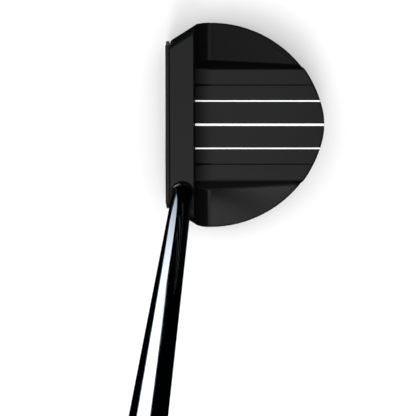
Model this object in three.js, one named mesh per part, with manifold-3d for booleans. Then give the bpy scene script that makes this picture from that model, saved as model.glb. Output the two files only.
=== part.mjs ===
// Mallet putter, right-handed, modelled in millimetres with +Z up.
//
// Frame: the origin is the centre of the flat sole, which lies on the plane z = 0.
// -Y points at the target (the hitting face), +Y to the rear of the head,
// +X to the heel and the player, -X to the toe.
//
// The head body is one machined block: an outline seen from above, cut by a side profile
// and by a front profile, with the two wings, the bar ends and all the holes taken out of it.
// Everything on the shaft is turned about the shaft axis and tilted to the lie angle.

import * as THREE from 'three';
import Module from 'manifold-3d';
import { mergeVertices } from 'three/addons/utils/BufferGeometryUtils.js';

const wasm = await Module();
wasm.setup();

const degrees = THREE.MathUtils.degToRad;

// ---------------------------------------------------------------- driving dimensions

const FACE_Y = -35; // hitting face at the height of the topline
const TOPLINE_Z = 25;
const LOFT = degrees(3);
const FAR = 60; // reach of a cutter past the head
const PAST = 10; // reach of a cutter past a surface that lies on the head
const JUST_PAST = 1;

// outline of the head seen from above
const HEAD_DEPTH = 74.4;
const HALF_WIDTH = 49.7;
const WIDEST_FROM_FACE = 19.5;
const SIDE_SWEEP = degrees(75); // turn of each side arc before the rear arc takes over
const SHOULDER_RADIUS = 12;
const SHOULDER_ANGLE = degrees(32); // of the straight shoulders beside the bar
const SHOULDER_LEAD = 4; // the shoulders run on this far in front of the face before the bar is cut
const ARC_STEPS = 14;
const SHOULDER_STEPS = 5;

// bar along the face, and the deck behind it
const BAR_FRONT = 2.2; // all three measured back from the face
const BAR_REAR = 13.3;
const DECK_Z = 21.4;
const DECK_HALF_WIDTH = 26.4;
const BAR_END_INSET = 3.9; // top edge of a bar end, in from the shoulder
const BAR_END_FOOT_Z = 12;
const EDGE_BREAK = 0.6; // small bevels on the bar

// wings, the two low floors beside the deck
const WING_DEPTH = 9.6; // below the deck, at the front of the wing
const WING_RISE = Math.atan(0.142); // the floor climbs to the rear
const WING_TILT = degrees(6); // and falls away to the side
const WING_FILLET = 7;
const DECK_DRAFT = Math.atan(0.44); // of the deck's side walls

// underside
const SOLE_REAR_Y = 20;
const SOLE_REAR_RISE = 8;
const SOLE_REAR_BEND = 2; // moves the start of the rise to the rear
const SOLE_FRONT_BEVEL = 1.6;
const SOLE_HALF_FLAT = 36;
const SOLE_SIDE_RISE = 5.5;

// face plate and the soft layer behind it
const PLATE_THICKNESS = 1.75;
const PLATE_TOP_DROP = 0.2;
const PLATE_TOP_HALF = 36.6;
const PLATE_HALF = 40;
const PLATE_SHOULDER_DROP = 11;
const PLATE_HEIGHT = 22.4;
const PLATE_CORNER = 5;
const BACKING_THICKNESS = 0.3;
const BACKING_INSET = 0.8;
const FACE_GROOVES = 9;
const FACE_GROOVE_PITCH = 1.8;
const FACE_GROOVE_WIDTH = 0.7;
const FACE_GROOVE_DEPTH = 0.25;
const FACE_GROOVE_HALF_LENGTH = 30;

// alignment lines and the two fine engraved lines on the deck
const LINE_SPACING = 11.07;
const CENTRE_LINE_WIDTH = 1.06;
const SIDE_LINE_WIDTH = 0.66;
const LINE_START = 13.85;
const LINE_GROOVE_DEPTH = 0.5;
const LINE_SIDE_GAP = 0.04;
const LINE_FLOOR_GAP = 0.1;
const GROOVE_FROM_BAR = 0.2;
const ENGRAVED_X = 18.5;
const ENGRAVED_WIDTH = 0.5;
const ENGRAVED_DEPTH = 0.3;

// sole plate, its screws and the weights
const SOLE_PLATE_THICKNESS = 2.4;
const SOLE_PLATE_HALF_WIDTH = 34.5;
const SOLE_PLATE_FRONT_Y = -30.5;
const SOLE_PLATE_REAR_Y = 19.5;
const SOLE_PLATE_CORNER = 6;
const SOLE_PLATE_FLANK_Y = -4; // the sides curve in behind this
const SOLE_PLATE_TAPER = 2;
const SCREW_PLACES = [[-12, -25], [12, -25], [-30.5, -10], [30.5, -10], [-13, 14], [13, 14]];
const SCREW_RADIUS = 1.5;
const SCREW_LENGTH = 7.5;
const SCREW_POINT = 0.5;
const SCREW_HEAD_RADIUS = 2.8;
const SCREW_HEAD_HEIGHT = 1.5;
const SCREW_SOCKET_RADIUS = 1.1;
const SCREW_SOCKET_DEPTH = 1.3;
const SCREW_SEGMENTS = 24;
const WEIGHT_X = 18.5;
const WEIGHT_Y = -8;
const WEIGHT_RADIUS = 8;
const WEIGHT_HEIGHT = 6.5;
const WEIGHT_BEVEL = 0.5;
const WEIGHT_PIN_HOLE_RADIUS = 0.9;
const WEIGHT_PIN_HOLE_OFFSET = 4.4;
const WEIGHT_PIN_HOLE_DEPTH = 2;
const SUNK = 0.15; // screw and weight faces lie this far inside the sole
const CLEARANCE = 0.3;
const HEX_SIDES = 6;
const HOLE_SEGMENTS = 16;

// shaft: its axis crosses the topline plane at SHAFT_X, in the middle of the bar
const LIE = degrees(70);
const SHAFT_X = 31.5;
const SHAFT_FROM_FACE = 7.9;
const TIP_RADIUS = 4.7;
const BUTT_RADIUS = 7.37;
const CLUB_ABOVE_TOPLINE = 837; // along the shaft axis, to the butt of the shaft
const SHAFT_DEPTH = 19; // tip of the shaft below the topline, along the axis
const BORE_DEPTH = 19.5;
const SHAFT_WALL = 0.55;
const BORE_CLEARANCE = 0.12;
const FERRULE_RADIUS = 5.15;
const FERRULE_DEPTH = 1.1;
const FERRULE_STAND = 2.2;
const FERRULE_SHOULDER = 1; // height of its sloping top edge
const FERRULE_RIM = 0.12;
const PLUG_LENGTH = 9;
const PLUG_INSET = 1;

// grip and the band below it
const GRIP_LENGTH = 266;
const GRIP_TAPE_THICKNESS = 0.25;
const GRIP_TAPE_SHORTFALL = 12;
const SLEEVE_GAP = 0.1;
const GRIP_MOUTH_HALF = 9.2;
const GRIP_TOP_HALF = 14;
const GRIP_FLAT_MOUTH = 8.6; // from the shaft axis to the flat front of the grip
const GRIP_FLAT_TOP = 10.6;
const GRIP_BELLY = 5.5; // extra depth of the pistol bulge on the underside
const BELLY_START = 0.45; // shares of the grip's length
const BELLY_FULL = 0.85;
const BELLY_LOSS = 0.45; // of the bulge, from there to the butt
const GRIP_SIDES = 40;
const GRIP_STEPS = 24;
const CAP_RADIUS = 10;
const CAP_HEIGHT = 3.2;
const CAP_EDGE_HEIGHT = 1;
const CAP_EDGE_INSET = 2;
const CAP_PLUG_LENGTH = 6;
const CAP_VENT_RADIUS = 1.5;
const BAND_BELOW_GRIP = 48;
const BAND_LENGTH = 62;
const BAND_THICKNESS = 0.15;
const ROUND_SEGMENTS = 32;
const CURVE_SEGMENTS = 6;
const MERGE_DISTANCE = 0.01;
const WELD_DISTANCE = 1e-4; // joins the seams of turned pieces

const REAR_Y = FACE_Y + HEAD_DEPTH;
const WIDEST_Y = FACE_Y + WIDEST_FROM_FACE;
const BAR_FRONT_Y = FACE_Y + BAR_FRONT;
const BAR_REAR_Y = FACE_Y + BAR_REAR;
const SHAFT_Y = FACE_Y + SHAFT_FROM_FACE;

// ---------------------------------------------------------------- solids

function toSolid(geometry) {
  const bare = geometry.index ? geometry.clone() : mergeVertices(geometry.clone());
  bare.deleteAttribute('normal');
  bare.deleteAttribute('uv');
  const merged = mergeVertices(bare, WELD_DISTANCE);
  return new wasm.Manifold(new wasm.Mesh({
    numProp: 3,
    vertProperties: new Float32Array(merged.attributes.position.array),
    triVerts: new Uint32Array(merged.index.array),
  }));
}

function toGeometry(solid) {
  const mesh = solid.getMesh();
  const geometry = new THREE.BufferGeometry();
  geometry.setAttribute('position', new THREE.BufferAttribute(mesh.vertProperties, 3));
  geometry.setIndex(new THREE.BufferAttribute(mesh.triVerts, 1));
  return geometry;
}

// Mirrors a geometry to the other side of the head and keeps its faces pointing out.
function mirrored(geometry) {
  const copy = mergeVertices(geometry.clone());
  copy.scale(-1, 1, 1);
  const index = copy.index.array;
  for (let i = 0; i < index.length; i += 3) {
    [index[i], index[i + 1]] = [index[i + 1], index[i]];
  }
  return copy;
}

function box(x0, x1, y0, y1, z0, z1) {
  const geometry = new THREE.BoxGeometry(x1 - x0, y1 - y0, z1 - z0);
  return geometry.translate((x0 + x1) / 2, (y0 + y1) / 2, (z0 + z1) / 2);
}

// A shape drawn in (x, y), pushed up from z0 to z1.
function upright(shape, z0, z1) {
  const options = { depth: z1 - z0, bevelEnabled: false, curveSegments: CURVE_SEGMENTS };
  const geometry = new THREE.ExtrudeGeometry(shape, options);
  return geometry.translate(0, 0, z0);
}

// A shape drawn in (y, z), pushed along X from x0 to x1.
function sideways(shape, x0, x1) {
  const geometry = upright(shape, x0, x1);
  const axes = new THREE.Matrix4().makeBasis(
    new THREE.Vector3(0, 1, 0), new THREE.Vector3(0, 0, 1), new THREE.Vector3(1, 0, 0));
  return geometry.applyMatrix4(axes);
}

// A shape drawn in (x, z), pushed along Y from y0 to y1.
function lengthwise(shape, y0, y1) {
  const geometry = upright(shape, -y1, -y0);
  return geometry.rotateX(Math.PI / 2);
}

// A profile of [radius, height] points turned about Z.
function turned(profile, segments = ROUND_SEGMENTS) {
  const points = profile.map(([radius, height]) => new THREE.Vector2(radius, height));
  return new THREE.LatheGeometry(points, segments).rotateX(Math.PI / 2);
}

function rod(radius, z0, z1, segments = ROUND_SEGMENTS) {
  return turned([[0, z0], [radius, z0], [radius, z1], [0, z1]], segments);
}

function part(name, geometry, colour, roughness, metalness) {
  const material = new THREE.MeshStandardMaterial({ color: colour, roughness, metalness });
  const mesh = new THREE.Mesh(geometry, material);
  mesh.name = name;
  return mesh;
}

// ---------------------------------------------------------------- head body

// Where the straight shoulder beside the bar runs into the round side of the head.
function shoulderStart(inset = 0) {
  const radius = SHOULDER_RADIUS - inset;
  const x = HALF_WIDTH - inset - radius * (1 - Math.cos(SHOULDER_ANGLE));
  const y = WIDEST_Y - radius * Math.sin(SHOULDER_ANGLE);
  return [x, y];
}

// Half of the outline, from the front of the heel shoulder to the middle of the rear edge.
function heelOutline(inset = 0) {
  const width = HALF_WIDTH - inset;
  const depth = REAR_Y - inset - WIDEST_Y;
  const sine = Math.sin(SIDE_SWEEP);
  const cosine = Math.cos(SIDE_SWEEP);
  const share = (1 - sine) / cosine;
  const sideRadius = (depth - share * width) / (sine - share * (1 - cosine));
  const rearRadius = (width - sideRadius * (1 - cosine)) / cosine;
  const shoulderRadius = SHOULDER_RADIUS - inset;
  const [shoulderX, shoulderY] = shoulderStart(inset);
  const frontY = FACE_Y - SHOULDER_LEAD;
  const points = [[shoulderX - (shoulderY - frontY) * Math.tan(SHOULDER_ANGLE), frontY]];
  const addArc = (centreX, centreY, radius, from, to, steps) => {
    for (let i = 0; i <= steps; i += 1) {
      const angle = from + (to - from) * i / steps;
      points.push([centreX + radius * Math.cos(angle), centreY + radius * Math.sin(angle)]);
    }
  };
  addArc(width - shoulderRadius, WIDEST_Y, shoulderRadius, -SHOULDER_ANGLE, 0, SHOULDER_STEPS);
  addArc(width - sideRadius, WIDEST_Y, sideRadius, 0, SIDE_SWEEP, ARC_STEPS);
  addArc(0, REAR_Y - inset - rearRadius, rearRadius, SIDE_SWEEP, Math.PI / 2, ARC_STEPS / 2);
  const isNew = ([x, y], i) => {
    const [beforeX, beforeY] = points[Math.max(i - 1, 0)];
    return i === 0 || Math.hypot(x - beforeX, y - beforeY) > MERGE_DISTANCE;
  };
  return points.filter(isNew);
}

function headOutline(inset = 0) {
  const heel = heelOutline(inset);
  const toe = heel.slice(0, -1).reverse().map(([x, y]) => [-x, y]);
  return new THREE.Shape([...heel, ...toe].map(([x, y]) => new THREE.Vector2(x, y)));
}

// Lofted front, bar, deck, rear wall and the sole that curves up to the rear.
function sideProfile() {
  const frontAt = (z) => BAR_FRONT_Y - (TOPLINE_Z - z) * Math.tan(LOFT);
  const shape = new THREE.Shape();
  shape.moveTo(frontAt(0) + SOLE_FRONT_BEVEL, 0);
  shape.lineTo(SOLE_REAR_Y, 0);
  shape.quadraticCurveTo((SOLE_REAR_Y + REAR_Y) / 2 + SOLE_REAR_BEND, 0,
    REAR_Y + JUST_PAST, SOLE_REAR_RISE);
  shape.lineTo(REAR_Y + JUST_PAST, DECK_Z);
  shape.lineTo(BAR_REAR_Y, DECK_Z);
  shape.lineTo(BAR_REAR_Y, TOPLINE_Z - EDGE_BREAK);
  shape.lineTo(BAR_REAR_Y - EDGE_BREAK, TOPLINE_Z);
  shape.lineTo(BAR_FRONT_Y + EDGE_BREAK, TOPLINE_Z);
  shape.lineTo(frontAt(TOPLINE_Z - EDGE_BREAK), TOPLINE_Z - EDGE_BREAK);
  shape.lineTo(frontAt(SOLE_FRONT_BEVEL), SOLE_FRONT_BEVEL);
  return shape;
}

// The sole's rise to the toe and the heel.
function frontProfile() {
  const shape = new THREE.Shape();
  const reach = HALF_WIDTH + JUST_PAST;
  const bend = (SOLE_HALF_FLAT + reach) / 2;
  shape.moveTo(-SOLE_HALF_FLAT, 0);
  shape.lineTo(SOLE_HALF_FLAT, 0);
  shape.quadraticCurveTo(bend, 0, reach, SOLE_SIDE_RISE);
  shape.lineTo(reach, FAR);
  shape.lineTo(-reach, FAR);
  shape.lineTo(-reach, SOLE_SIDE_RISE);
  shape.quadraticCurveTo(-bend, 0, -SOLE_HALF_FLAT, 0);
  return shape;
}

// Everything above a wing: its floor climbs to the rear and falls away to the side, a fillet
// joins it to the back of the bar, and the deck's drafted wall bounds it on the inside.
function wingCutter() {
  const floorZ = DECK_Z - WING_DEPTH;
  const rearY = REAR_Y + PAST;
  const fillet = new THREE.Shape();
  const filletEnd = Math.PI * 1.5 + WING_RISE;
  const centreY = BAR_REAR_Y + WING_FILLET;
  const centreZ = floorZ + WING_FILLET;
  fillet.moveTo(BAR_REAR_Y, FAR);
  fillet.lineTo(BAR_REAR_Y, centreZ);
  fillet.absarc(centreY, centreZ, WING_FILLET, Math.PI, filletEnd, false);
  const floorStartY = centreY + WING_FILLET * Math.sin(WING_RISE);
  const floorStartZ = centreZ - WING_FILLET * Math.cos(WING_RISE);
  fillet.lineTo(rearY, floorStartZ + (rearY - floorStartY) * Math.tan(WING_RISE));
  fillet.lineTo(rearY, FAR);
  const space = sideways(fillet, -FAR, FAR);
  space.translate(-DECK_HALF_WIDTH, 0, -floorZ);
  space.rotateY(WING_TILT);
  space.translate(DECK_HALF_WIDTH, 0, floorZ);

  const wall = box(0, FAR, -FAR, FAR, -FAR, FAR);
  wall.rotateY(-DECK_DRAFT);
  wall.translate(DECK_HALF_WIDTH, 0, DECK_Z);
  return toGeometry(toSolid(space).intersect(toSolid(wall)));
}

// The steep end of the bar, parallel to the shoulder below it.
function barEndCutter() {
  const [shoulderX, shoulderY] = shoulderStart();
  const foot = shoulderX * Math.cos(SHOULDER_ANGLE) - shoulderY * Math.sin(SHOULDER_ANGLE);
  const slope = BAR_END_INSET / (TOPLINE_Z - BAR_END_FOOT_Z);
  const at = (z) => foot - (z - BAR_END_FOOT_Z) * slope;
  const topZ = TOPLINE_Z + PAST;
  const lowZ = BAR_END_FOOT_Z - PAST / 2;
  const outline = [[at(topZ), topZ], [at(lowZ), lowZ], [FAR + PAST, lowZ], [FAR + PAST, topZ]];
  const shape = new THREE.Shape(outline.map(([u, z]) => new THREE.Vector2(u, z)));
  return lengthwise(shape, -FAR, FAR / 2).rotateZ(-SHOULDER_ANGLE);
}

// Puts a geometry made about Z onto the shaft axis.
function ontoShaft(object) {
  const tilt = new THREE.Matrix4().makeRotationY(Math.PI / 2 - LIE);
  tilt.setPosition(SHAFT_X, SHAFT_Y, TOPLINE_Z);
  return object.applyMatrix4(tilt);
}

function soleRecess() {
  return upright(soleOutline(-CLEARANCE / 2), -JUST_PAST, SOLE_PLATE_THICKNESS + CLEARANCE / 3);
}

function deckGroove(x, width, depth) {
  const startY = BAR_REAR_Y + GROOVE_FROM_BAR;
  return box(x - width / 2, x + width / 2, startY, FAR, DECK_Z - depth, DECK_Z + JUST_PAST);
}

function makeHeadBody() {
  let body = toSolid(upright(headOutline(), 0, TOPLINE_Z));
  body = body.intersect(toSolid(sideways(sideProfile(), -FAR, FAR)));
  body = body.intersect(toSolid(lengthwise(frontProfile(), -FAR, FAR)));
  const cutters = [];
  for (const cutter of [wingCutter(), barEndCutter()]) {
    cutters.push(cutter, mirrored(cutter));
  }
  cutters.push(ontoShaft(rod(TIP_RADIUS + BORE_CLEARANCE, -BORE_DEPTH, PAST)));
  cutters.push(ontoShaft(rod(FERRULE_RADIUS + SLEEVE_GAP, -FERRULE_DEPTH - SLEEVE_GAP, PAST)));
  cutters.push(soleRecess());
  for (const [x, y] of SCREW_PLACES) {
    const hole = rod(SCREW_RADIUS + CLEARANCE / 2, -JUST_PAST, SCREW_LENGTH + JUST_PAST, HOLE_SEGMENTS);
    cutters.push(hole.translate(x, y, 0));
  }
  for (const side of [-1, 1]) {
    const pocket = rod(WEIGHT_RADIUS + CLEARANCE / 2, -JUST_PAST, WEIGHT_HEIGHT + CLEARANCE);
    cutters.push(pocket.translate(side * WEIGHT_X, WEIGHT_Y, 0));
    cutters.push(deckGroove(side * ENGRAVED_X, ENGRAVED_WIDTH, ENGRAVED_DEPTH));
    cutters.push(deckGroove(side * LINE_SPACING, SIDE_LINE_WIDTH + 2 * LINE_SIDE_GAP, LINE_GROOVE_DEPTH));
  }
  cutters.push(deckGroove(0, CENTRE_LINE_WIDTH + 2 * LINE_SIDE_GAP, LINE_GROOVE_DEPTH));
  for (const cutter of cutters) {
    body = body.subtract(toSolid(cutter));
  }
  return part('head_body', toGeometry(body), 0x15161a, 0.45, 0.6);
}

// ---------------------------------------------------------------- alignment lines

function makeAlignmentLine(name, x, width) {
  const strip = box(x - width / 2, x + width / 2, FACE_Y + LINE_START, FAR,
    DECK_Z - LINE_GROOVE_DEPTH + LINE_FLOOR_GAP, DECK_Z - LINE_SIDE_GAP);
  const inside = toSolid(upright(headOutline(LINE_SIDE_GAP), 0, TOPLINE_Z));
  return part(name, toGeometry(toSolid(strip).intersect(inside)), 0xf6f6f2, 0.35, 0);
}

// ---------------------------------------------------------------- face

// The face seen from the front, drawn from the topline down; the inset shrinks it all round.
function faceOutline(inset) {
  const top = -PLATE_TOP_DROP - inset;
  const bottom = -PLATE_TOP_DROP - PLATE_HEIGHT + inset;
  const half = PLATE_HALF - inset;
  const topHalf = PLATE_TOP_HALF - inset / 2;
  const shoulder = -PLATE_TOP_DROP - PLATE_SHOULDER_DROP;
  const corner = PLATE_CORNER - inset;
  const shape = new THREE.Shape();
  shape.moveTo(-topHalf, top);
  shape.lineTo(-half, shoulder);
  shape.lineTo(-half, bottom + corner);
  shape.quadraticCurveTo(-half, bottom, -half + corner, bottom);
  shape.lineTo(half - corner, bottom);
  shape.quadraticCurveTo(half, bottom, half, bottom + corner);
  shape.lineTo(half, shoulder);
  shape.lineTo(topHalf, top);
  return shape;
}

function makeFace() {
  const face = new THREE.Group();
  face.position.set(0, FACE_Y, TOPLINE_Z);
  face.rotation.x = -LOFT;
  let plate = toSolid(lengthwise(faceOutline(0), 0, PLATE_THICKNESS));
  const middle = -PLATE_TOP_DROP - PLATE_HEIGHT / 2;
  for (let i = 0; i < FACE_GROOVES; i += 1) {
    const z = middle + (i - (FACE_GROOVES - 1) / 2) * FACE_GROOVE_PITCH;
    plate = plate.subtract(toSolid(box(-FACE_GROOVE_HALF_LENGTH, FACE_GROOVE_HALF_LENGTH,
      -JUST_PAST, FACE_GROOVE_DEPTH, z - FACE_GROOVE_WIDTH / 2, z + FACE_GROOVE_WIDTH / 2)));
  }
  face.add(part('face_plate', toGeometry(plate), 0x1b1c20, 0.4, 0.7));
  const space = BAR_FRONT * Math.cos(LOFT) - PLATE_THICKNESS;
  const behind = PLATE_THICKNESS + (space - BACKING_THICKNESS) / 2;
  const layer = lengthwise(faceOutline(BACKING_INSET), behind, behind + BACKING_THICKNESS);
  face.add(part('face_backing', layer, 0x08080a, 0.9, 0));
  return face;
}

// ---------------------------------------------------------------- sole

function soleOutline(inset) {
  const half = SOLE_PLATE_HALF_WIDTH - inset;
  const front = SOLE_PLATE_FRONT_Y + inset;
  const rear = SOLE_PLATE_REAR_Y - inset;
  const corner = SOLE_PLATE_CORNER - inset;
  const flank = SOLE_PLATE_FLANK_Y;
  const bend = half - SOLE_PLATE_TAPER;
  const shape = new THREE.Shape();
  shape.moveTo(half, front + corner);
  shape.lineTo(half, flank);
  shape.quadraticCurveTo(bend, rear, 0, rear);
  shape.quadraticCurveTo(-bend, rear, -half, flank);
  shape.lineTo(-half, front + corner);
  shape.quadraticCurveTo(-half, front, -half + corner, front);
  shape.lineTo(half - corner, front);
  shape.quadraticCurveTo(half, front, half, front + corner);
  return shape;
}

function makeSolePlate() {
  let plate = toSolid(upright(soleOutline(0), 0, SOLE_PLATE_THICKNESS));
  const headGap = CLEARANCE / 2;
  for (const [x, y] of SCREW_PLACES) {
    const headRadius = SCREW_HEAD_RADIUS + headGap;
    const shankRadius = SCREW_RADIUS + headGap;
    const seat = turned([[0, -JUST_PAST], [headRadius, -JUST_PAST], [headRadius, SUNK + headGap],
      [shankRadius, SUNK + SCREW_HEAD_HEIGHT + headGap], [shankRadius, PAST], [0, PAST]], SCREW_SEGMENTS);
    plate = plate.subtract(toSolid(seat.translate(x, y, 0)));
  }
  for (const side of [-1, 1]) {
    const hole = rod(WEIGHT_RADIUS + headGap, -JUST_PAST, PAST).translate(side * WEIGHT_X, WEIGHT_Y, 0);
    plate = plate.subtract(toSolid(hole));
  }
  return part('sole_plate', toGeometry(plate), 0x9a9da1, 0.3, 1);
}

function makeSoleScrew(name, [x, y]) {
  const tipRadius = SCREW_RADIUS - SCREW_POINT;
  const profile = [[0, SUNK], [SCREW_HEAD_RADIUS, SUNK], [SCREW_RADIUS, SUNK + SCREW_HEAD_HEIGHT],
    [SCREW_RADIUS, SCREW_LENGTH - SCREW_POINT], [tipRadius, SCREW_LENGTH], [0, SCREW_LENGTH]];
  const blank = toSolid(turned(profile, SCREW_SEGMENTS));
  const socket = toSolid(rod(SCREW_SOCKET_RADIUS, -JUST_PAST, SUNK + SCREW_SOCKET_DEPTH, HEX_SIDES));
  return part(name, toGeometry(blank.subtract(socket)).translate(x, y, 0), 0xb8babd, 0.3, 1);
}

function makeSoleWeight(name, x) {
  const flat = WEIGHT_RADIUS - WEIGHT_BEVEL;
  let weight = toSolid(turned([[0, SUNK], [flat, SUNK], [WEIGHT_RADIUS, SUNK + WEIGHT_BEVEL],
    [WEIGHT_RADIUS, WEIGHT_HEIGHT - WEIGHT_BEVEL], [flat, WEIGHT_HEIGHT], [0, WEIGHT_HEIGHT]]));
  for (const side of [-1, 1]) {
    const pinHole = rod(WEIGHT_PIN_HOLE_RADIUS, -JUST_PAST, SUNK + WEIGHT_PIN_HOLE_DEPTH, HOLE_SEGMENTS);
    weight = weight.subtract(toSolid(pinHole.translate(side * WEIGHT_PIN_HOLE_OFFSET, 0, 0)));
  }
  return part(name, toGeometry(weight).translate(x, WEIGHT_Y, 0), 0xa9abae, 0.25, 1);
}

// ---------------------------------------------------------------- shaft

function shaftRadius(along) {
  return TIP_RADIUS + (BUTT_RADIUS - TIP_RADIUS) * Math.max(along, 0) / CLUB_ABOVE_TOPLINE;
}

// A thin sleeve that follows the shaft's taper.
function taperedSleeve(start, end, gap, thickness) {
  const inner0 = shaftRadius(start) + gap;
  const inner1 = shaftRadius(end) + gap;
  return turned([[inner0, start], [inner0 + thickness, start], [inner1 + thickness, end],
    [inner1, end], [inner0, start]]);
}

function makeShaft() {
  const tip = -SHAFT_DEPTH;
  const butt = CLUB_ABOVE_TOPLINE;
  const profile = [[TIP_RADIUS - SHAFT_WALL, tip], [TIP_RADIUS, tip], [TIP_RADIUS, 0], [BUTT_RADIUS, butt],
    [BUTT_RADIUS - SHAFT_WALL, butt], [TIP_RADIUS - SHAFT_WALL, 0], [TIP_RADIUS - SHAFT_WALL, tip]];
  return part('shaft', turned(profile), 0x050608, 0.08, 0.9);
}

function makeTipPlug() {
  const radius = TIP_RADIUS - SHAFT_WALL - SLEEVE_GAP;
  const start = -SHAFT_DEPTH + PLUG_INSET;
  return part('tip_plug', rod(radius, start, start + PLUG_LENGTH), 0xb08a58, 0.9, 0);
}

function makeFerrule() {
  const inner = shaftRadius(FERRULE_STAND) + SLEEVE_GAP;
  const profile = [[inner, -FERRULE_DEPTH], [FERRULE_RADIUS, -FERRULE_DEPTH],
    [FERRULE_RADIUS, FERRULE_STAND - FERRULE_SHOULDER], [inner + FERRULE_RIM, FERRULE_STAND],
    [inner, FERRULE_STAND], [inner, -FERRULE_DEPTH]];
  return part('ferrule', turned(profile), 0x0c0c0e, 0.2, 0);
}

function makeShaftBand() {
  const end = CLUB_ABOVE_TOPLINE - GRIP_LENGTH - BAND_BELOW_GRIP;
  const sleeve = taperedSleeve(end - BAND_LENGTH, end, SLEEVE_GAP, BAND_THICKNESS);
  return part('shaft_band', sleeve, 0x8d9094, 0.4, 0.3);
}

// ---------------------------------------------------------------- grip

function makeGripTape() {
  const start = CLUB_ABOVE_TOPLINE - GRIP_LENGTH + GRIP_TAPE_SHORTFALL;
  const sleeve = taperedSleeve(start, CLUB_ABOVE_TOPLINE, SLEEVE_GAP, GRIP_TAPE_THICKNESS);
  return part('grip_tape', sleeve, 0xd8d2c0, 0.8, 0);
}

// Pistol grip: flat towards the thumbs (-X before the shaft is tilted), round underneath,
// with a belly that swells and shrinks again just below the butt.
function gripBlank() {
  const start = CLUB_ABOVE_TOPLINE - GRIP_LENGTH;
  const blank = new THREE.CylinderGeometry(1, 1, GRIP_LENGTH, GRIP_SIDES, GRIP_STEPS).rotateX(Math.PI / 2);
  blank.translate(0, 0, start + GRIP_LENGTH / 2);
  const position = blank.attributes.position;
  for (let i = 0; i < position.count; i += 1) {
    const z = position.getZ(i);
    const share = (z - start) / GRIP_LENGTH;
    const swell = THREE.MathUtils.smoothstep(share, 0, 1);
    const half = THREE.MathUtils.lerp(GRIP_MOUTH_HALF, GRIP_TOP_HALF, swell);
    const flat = THREE.MathUtils.lerp(GRIP_FLAT_MOUTH, GRIP_FLAT_TOP, swell);
    const belly = GRIP_BELLY * THREE.MathUtils.smoothstep(share, BELLY_START, BELLY_FULL)
      * (1 - BELLY_LOSS * THREE.MathUtils.smoothstep(share, BELLY_FULL, 1));
    const x = position.getX(i);
    const depth = x > 0 ? half + belly : half;
    position.setXYZ(i, Math.max(x * depth, -flat), position.getY(i) * half, z);
  }
  return blank;
}

function makeGripSleeve() {
  const start = CLUB_ABOVE_TOPLINE - GRIP_LENGTH;
  const gap = 2 * SLEEVE_GAP + GRIP_TAPE_THICKNESS;
  const low = start - JUST_PAST;
  const high = CLUB_ABOVE_TOPLINE + JUST_PAST;
  const bore = turned([[0, low], [shaftRadius(low) + gap, low], [shaftRadius(high) + gap, high], [0, high]]);
  const sleeve = toSolid(gripBlank()).subtract(toSolid(bore));
  return part('grip_sleeve', toGeometry(sleeve), 0x17181a, 0.85, 0);
}

function makeGripCap() {
  const base = CLUB_ABOVE_TOPLINE + SLEEVE_GAP;
  const plug = BUTT_RADIUS - SHAFT_WALL - SLEEVE_GAP * 3;
  const top = base + CAP_HEIGHT;
  const bottom = base - CAP_PLUG_LENGTH;
  const profile = [[CAP_VENT_RADIUS, bottom], [plug, bottom], [plug, base], [CAP_RADIUS, base],
    [CAP_RADIUS, base + CAP_EDGE_HEIGHT], [CAP_RADIUS - CAP_EDGE_INSET, top], [CAP_VENT_RADIUS, top],
    [CAP_VENT_RADIUS, bottom]];
  return part('grip_cap', turned(profile), 0x101113, 0.6, 0);
}

// ---------------------------------------------------------------- assembly

const putter = new THREE.Group();
putter.add(makeHeadBody());
putter.add(makeFace());
putter.add(makeAlignmentLine('alignment_line_toe', -LINE_SPACING, SIDE_LINE_WIDTH));
putter.add(makeAlignmentLine('alignment_line_centre', 0, CENTRE_LINE_WIDTH));
putter.add(makeAlignmentLine('alignment_line_heel', LINE_SPACING, SIDE_LINE_WIDTH));
putter.add(makeSolePlate());
SCREW_PLACES.forEach((place, i) => putter.add(makeSoleScrew(`sole_screw_${i + 1}`, place)));
putter.add(makeSoleWeight('sole_weight_toe', -WEIGHT_X));
putter.add(makeSoleWeight('sole_weight_heel', WEIGHT_X));

const club = new THREE.Group();
club.position.set(SHAFT_X, SHAFT_Y, TOPLINE_Z);
club.rotation.y = Math.PI / 2 - LIE;
club.add(makeShaft(), makeTipPlug(), makeFerrule(), makeShaftBand());
club.add(makeGripTape(), makeGripSleeve(), makeGripCap());
putter.add(club);

export default putter;
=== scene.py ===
"""Looks of the mallet putter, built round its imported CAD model.

Every visible piece is rebuilt here at a finer grain than the CAD solid it stands for, in the
same frame: +X heel, -Y target, +Z up, origin at the middle of the flat sole. Shapes are drawn in
millimetres and scaled to metres when a piece is finished.
"""

import math

import bmesh
import bpy
from mathutils import Matrix, Vector


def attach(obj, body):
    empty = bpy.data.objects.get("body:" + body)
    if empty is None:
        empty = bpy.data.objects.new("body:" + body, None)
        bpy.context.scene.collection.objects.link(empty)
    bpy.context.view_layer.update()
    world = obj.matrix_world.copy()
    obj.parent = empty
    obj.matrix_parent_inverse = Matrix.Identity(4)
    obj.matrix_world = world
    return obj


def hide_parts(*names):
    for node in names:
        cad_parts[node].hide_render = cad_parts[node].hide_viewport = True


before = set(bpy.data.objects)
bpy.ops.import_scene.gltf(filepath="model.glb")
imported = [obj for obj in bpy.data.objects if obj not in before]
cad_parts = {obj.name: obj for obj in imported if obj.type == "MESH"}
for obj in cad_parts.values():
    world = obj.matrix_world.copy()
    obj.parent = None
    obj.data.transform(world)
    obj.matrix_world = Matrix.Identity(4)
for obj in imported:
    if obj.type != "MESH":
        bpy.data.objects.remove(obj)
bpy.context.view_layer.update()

MM = 0.001

# ---------------------------------------------------------------- dimensions, millimetres

FACE_Y = -35.0
TOPLINE_Z = 25.0
LOFT = math.radians(3)
FAR = 60.0  # past the head in every direction
CLEAR = 10.0  # past a surface that a cutter has to leave well behind
OVER = 1.0  # past a surface that a cutter only has to break

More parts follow.
